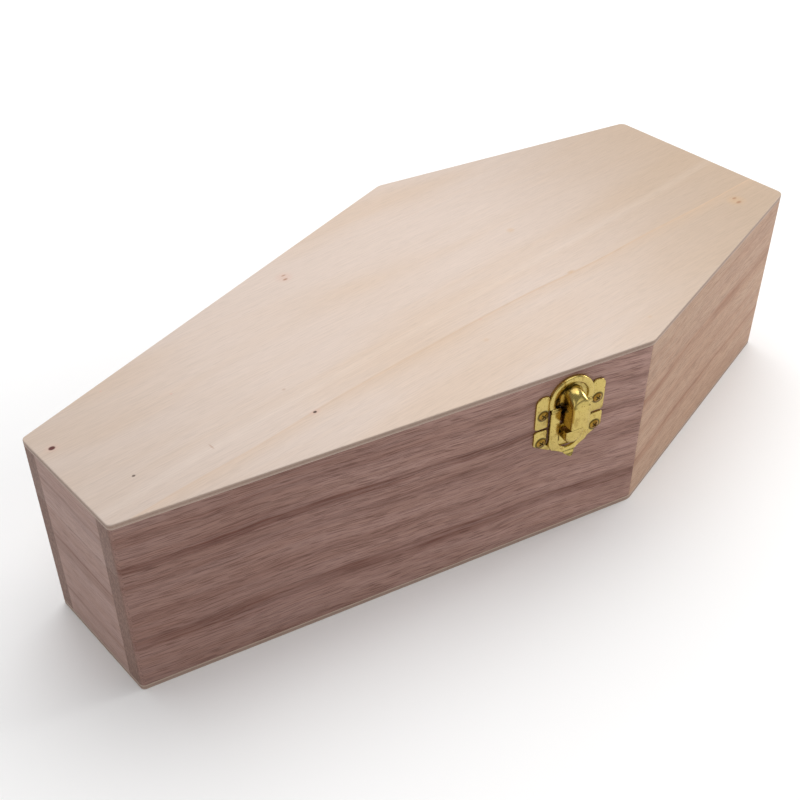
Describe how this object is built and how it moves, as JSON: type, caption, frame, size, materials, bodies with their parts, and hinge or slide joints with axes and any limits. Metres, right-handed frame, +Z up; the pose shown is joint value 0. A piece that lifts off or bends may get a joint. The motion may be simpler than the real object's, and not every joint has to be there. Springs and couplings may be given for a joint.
{
  "type": "coffin-shaped wooden box",
  "caption": "Small six-sided coffin-shaped wooden box with ply top and bottom, a back-hinged lid and a brass hasp latch.",
  "frame": {"origin": "centre of the underside of the closed box", "axes": "+X from the foot end to the head end, -Y to the long side with the latch, +Z up"},
  "size_m": [0.3, 0.1413, 0.0735],
  "materials": {
    "ply_panel": "raw sanded pale ply",
    "board_wood": "raw sanded light wood",
    "latch_brass": "thin bright brass plating",
    "hinge_brass": "thin bright brass plating",
    "brass_screws": "tarnished brass plating"
  },
  "bodies": {
    "box": {"box_bottom_panel": "ply_panel", "box_front_long_board": "board_wood", "box_front_short_board": "board_wood", "box_head_board": "board_wood", "box_back_short_board": "board_wood", "box_back_long_board": "board_wood", "box_foot_board": "board_wood", "latch_box_plate": "latch_brass", "latch_screw_box_foot": "brass_screws", "latch_screw_box_head": "brass_screws", "hinge_foot_box_leaf": "hinge_brass", "hinge_foot_pin": "hinge_brass", "hinge_head_box_leaf": "hinge_brass", "hinge_head_pin": "hinge_brass", "hinge_foot_screw_box_a": "brass_screws", "hinge_foot_screw_box_b": "brass_screws", "hinge_head_screw_box_a": "brass_screws", "hinge_head_screw_box_b": "brass_screws"},
    "lid": {"lid_top_panel": "ply_panel", "lid_front_long_board": "board_wood", "lid_front_short_board": "board_wood", "lid_head_board": "board_wood", "lid_back_short_board": "board_wood", "lid_back_long_board": "board_wood", "lid_foot_board": "board_wood", "latch_lid_plate": "latch_brass", "latch_hasp_pin": "latch_brass", "latch_screw_lid_foot": "brass_screws", "latch_screw_lid_head": "brass_screws", "hinge_foot_lid_leaf": "hinge_brass", "hinge_head_lid_leaf": "hinge_brass", "hinge_foot_screw_lid_a": "brass_screws", "hinge_foot_screw_lid_b": "brass_screws", "hinge_head_screw_lid_a": "brass_screws", "hinge_head_screw_lid_b": "brass_screws"},
    "hasp": {"latch_hasp": "latch_brass"}
  },
  "joints": [
    {"name": "lid_hinge", "type": "hinge", "parent": "box", "child": "lid", "pos_m": [-0.05917, 0.04925, 0.0515], "axis": [-0.9701, -0.2425, 0], "range_deg": [0, 180]},
    {"name": "hasp_hinge", "type": "hinge", "parent": "lid", "child": "hasp", "pos_m": [0.00106, -0.06395, 0.0585], "axis": [-0.9701, 0.2425, 0], "range_deg": [0, 90]}
  ]
}
